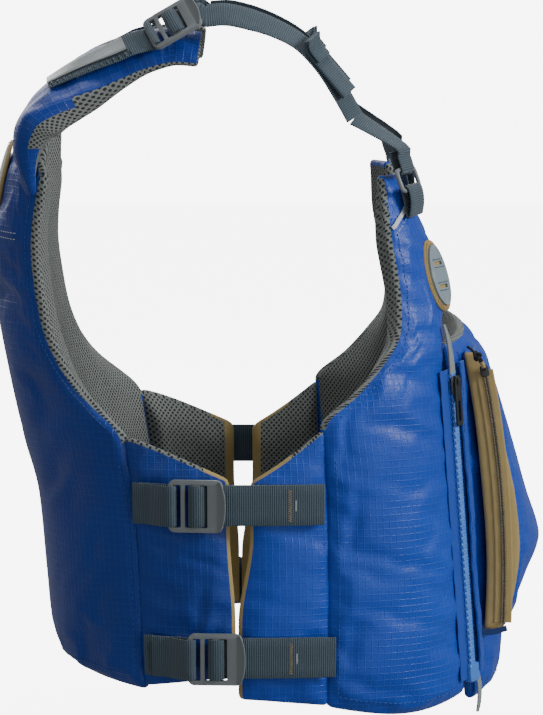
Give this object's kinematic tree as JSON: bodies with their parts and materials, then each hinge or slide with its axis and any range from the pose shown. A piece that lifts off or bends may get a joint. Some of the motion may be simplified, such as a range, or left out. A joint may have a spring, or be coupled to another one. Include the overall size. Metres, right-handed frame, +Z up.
{
  "type": "paddling buoyancy vest",
  "caption": "Foam-filled paddling vest with an off-centre front zip, adjustable side and shoulder webbing, a bellows chest pocket and a mesh lining.",
  "frame": {"origin": "on the upright axis of the wearer's torso, level with the lowest point of the hem", "axes": "+Z up along the torso, -Y to the wearer's front, -X to the wearer's right"},
  "size_m": [0.3718, 0.4363, 0.5623],
  "materials": {
    "blue_nylon": "ripstop nylon with a soft sheen",
    "grey_mesh": "perforated knitted mesh",
    "tan_fabric": "plain woven tan nylon",
    "closed_cell_foam": "soft closed-cell buoyancy foam",
    "slate_webbing": "ribbed polyester webbing",
    "reflective_tape": "glass-bead reflective tape",
    "grey_plastic": "moulded acetal",
    "grey_patch": "moulded rubbery patch",
    "blue_zip_teeth": "moulded zip teeth",
    "black_plastic": "black moulded plastic"
  },
  "bodies": {
    "root": {"back_badge": "tan_fabric", "back_cover": "blue_nylon", "back_foam": "closed_cell_foam", "back_lining": "grey_mesh", "back_side_left_cover": "blue_nylon", "back_side_left_foam": "closed_cell_foam", "back_side_left_lining": "tan_fabric", "back_side_right_cover": "blue_nylon", "back_side_right_foam": "closed_cell_foam", "back_side_right_lining": "tan_fabric", "daisy_webbing_left": "slate_webbing", "daisy_webbing_right": "slate_webbing", "front_left_cover": "blue_nylon", "front_left_foam": "closed_cell_foam", "front_left_lining": "grey_mesh", "front_side_left_cover": "blue_nylon", "front_side_left_foam": "closed_cell_foam", "front_side_left_lining": "tan_fabric", "pocket_body": "blue_nylon", "pocket_gusset": "tan_fabric", "reflective_tape_left": "reflective_tape", "reflective_tape_right": "reflective_tape", "ring_loop_left": "slate_webbing", "shoulder_pad_left": "blue_nylon", "shoulder_pad_right": "blue_nylon", "shoulder_web_left": "slate_webbing", "shoulder_web_right": "slate_webbing", "side_web_lower_back_left": "slate_webbing", "side_web_lower_back_right": "slate_webbing", "side_web_lower_front_left": "slate_webbing", "side_web_upper_back_left": "slate_webbing", "side_web_upper_back_right": "slate_webbing", "side_web_upper_front_left": "slate_webbing", "strap_keeper_left": "slate_webbing", "strap_keeper_right": "slate_webbing", "zip_bottom_box": "blue_zip_teeth", "zip_half_left": "blue_zip_teeth"},
    "front_right_panel": {"front_right_cover": "blue_nylon", "front_right_foam": "closed_cell_foam", "front_right_lining": "grey_mesh", "front_side_right_cover": "blue_nylon", "front_side_right_foam": "closed_cell_foam", "front_side_right_lining": "tan_fabric", "lash_tab": "grey_patch", "zip_half_right": "blue_zip_teeth", "ring_loop_right": "slate_webbing", "side_web_upper_front_right": "slate_webbing", "side_web_lower_front_right": "slate_webbing"},
    "zip_slider": {"zip_slider": "black_plastic"},
    "zip_puller": {"zip_puller": "black_plastic"},
    "pocket_slider": {"pocket_slider": "black_plastic", "pocket_pull": "black_plastic"},
    "side_buckle_upper_right": {"side_buckle_upper_right": "grey_plastic"},
    "side_buckle_lower_right": {"side_buckle_lower_right": "grey_plastic"},
    "shoulder_buckle_right": {"shoulder_buckle_right": "grey_plastic"},
    "ring_right": {"ring_right": "grey_plastic"},
    "side_buckle_upper_left": {"side_buckle_upper_left": "grey_plastic"},
    "side_buckle_lower_left": {"side_buckle_lower_left": "grey_plastic"},
    "shoulder_buckle_left": {"shoulder_buckle_left": "grey_plastic"},
    "ring_left": {"ring_left": "grey_plastic"}
  },
  "joints": [
    {"name": "front_right_open", "type": "hinge", "parent": "root", "child": "front_right_panel", "pos_m": [-0.17372, 0, 0.12], "axis": [0, 0, -1], "range_deg": [0, 25], "deforming": ["zip_half_right", "side_web_upper_front_right", "side_web_lower_front_right", "shoulder_web_right"]},
    {"name": "zip_slider_travel", "type": "slide", "parent": "root", "child": "zip_slider", "axis": [0.0418, -0.0757, -0.9963], "range_m": [0, 0.218]},
    {"name": "zip_puller_swing", "type": "hinge", "parent": "zip_slider", "child": "zip_puller", "pos_m": [-0.10626, -0.17245, 0.26572], "axis": [-0.8417, 0.5346, -0.076], "range_deg": [0, 150]},
    {"name": "pocket_slider_travel", "type": "hinge", "parent": "root", "child": "pocket_slider", "pos_m": [-0.0843, 0.6388, 0.1], "axis": [1, 0, 0], "range_deg": [0, 12.4]},
    {"name": "side_buckle_upper_right_tilt", "type": "hinge", "parent": "root", "child": "side_buckle_upper_right", "pos_m": [-0.17884, 0.05231, 0.17376], "axis": [0.0316, -0.0038, -0.9995], "range_deg": [0, 35], "deforming": ["side_web_upper_front_right"]},
    {"name": "side_buckle_upper_left_tilt", "type": "hinge", "parent": "root", "child": "side_buckle_upper_left", "pos_m": [0.17884, 0.05231, 0.17376], "axis": [0.0316, 0.0038, 0.9995], "range_deg": [0, 35], "deforming": ["side_web_upper_front_left"]},
    {"name": "side_buckle_lower_right_tilt", "type": "hinge", "parent": "root", "child": "side_buckle_lower_right", "pos_m": [-0.17668, 0.03748, 0.0526], "axis": [0.0529, -0.0032, -0.9986], "range_deg": [0, 35], "deforming": ["side_web_lower_front_right"]},
    {"name": "side_buckle_lower_left_tilt", "type": "hinge", "parent": "root", "child": "side_buckle_lower_left", "pos_m": [0.17668, 0.03748, 0.0526], "axis": [0.0529, 0.0032, 0.9986], "range_deg": [0, 35], "deforming": ["side_web_lower_front_left"]},
    {"name": "shoulder_buckle_right_tilt", "type": "hinge", "parent": "root", "child": "shoulder_buckle_right", "pos_m": [-0.096, 0.06889, 0.53425], "axis": [-0.708, -0.3531, -0.6116], "range_deg": [0, 35], "deforming": ["shoulder_web_right"]},
    {"name": "shoulder_buckle_left_tilt", "type": "hinge", "parent": "root", "child": "shoulder_buckle_left", "pos_m": [0.096, 0.06889, 0.53425], "axis": [-0.708, 0.3531, 0.6116], "range_deg": [0, 35], "deforming": ["shoulder_web_left"]},
    {"name": "ring_right_swing", "type": "hinge", "parent": "front_right_panel", "child": "ring_right", "pos_m": [-0.10337, -0.13614, 0.41431], "axis": [0.896, -0.4391, 0.0664], "range_deg": [-8, 30], "deforming": ["shoulder_web_right"]},
    {"name": "ring_left_swing", "type": "hinge", "parent": "root", "child": "ring_left", "pos_m": [0.10337, -0.13614, 0.41431], "axis": [0.896, 0.4391, -0.0664], "range_deg": [-8, 30], "deforming": ["shoulder_web_left"]}
  ]
}
